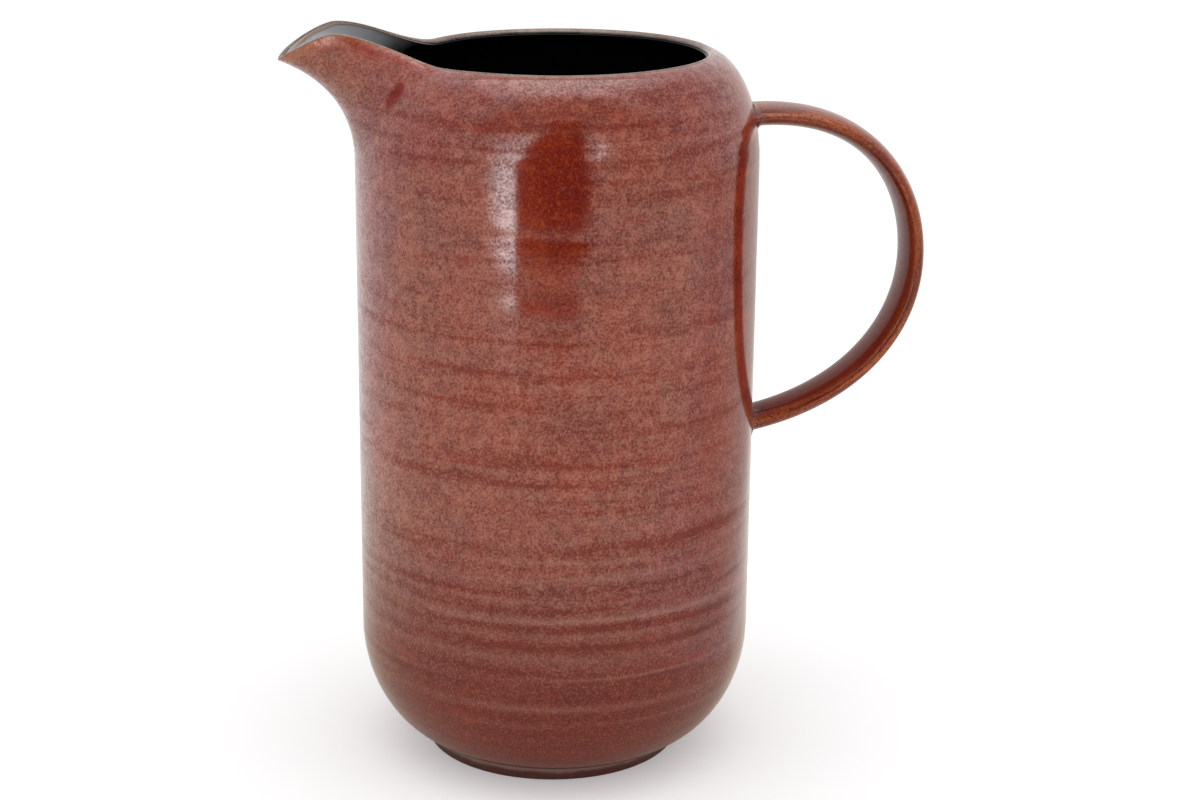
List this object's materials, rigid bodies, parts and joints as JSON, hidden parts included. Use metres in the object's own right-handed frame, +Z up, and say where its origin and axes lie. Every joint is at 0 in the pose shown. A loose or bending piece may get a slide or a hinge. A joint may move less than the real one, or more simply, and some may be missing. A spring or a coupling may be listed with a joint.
{
  "type": "jug",
  "caption": "Tall glazed jug with a rounded base and shoulder, a narrow foot ring, a pulled beak spout at the rim, an ear-shaped strap handle and a dark glazed inside.",
  "frame": {"origin": "centre of the bounding box's bottom face, on the plane that the foot ring stands on", "axes": "+Z up along the jug's axis, +X from the jug's axis towards the handle, -X towards the spout, XZ is the mirror plane"},
  "size_m": [0.2, 0.124, 0.2309],
  "materials": {
    "red_brown_glaze": "glossy reactive red-brown glaze with fine dark and tan speckle over throwing rings",
    "foot_glaze": "dark brown band, thin and satin where the glaze ends at the foot",
    "handle_glaze": "glossy orange-brown glaze with streaks along the strap and dark pools at the joints",
    "black_glaze": "glossy black liner glaze"
  },
  "bodies": {
    "root": {"body": "red_brown_glaze", "spout": "red_brown_glaze", "spout_slip_joint": "red_brown_glaze", "foot_ring": "foot_glaze", "handle": "handle_glaze", "upper_handle_slip_joint": "handle_glaze", "lower_handle_slip_joint": "handle_glaze", "inner_glaze": "black_glaze"}
  },
  "joints": []
}
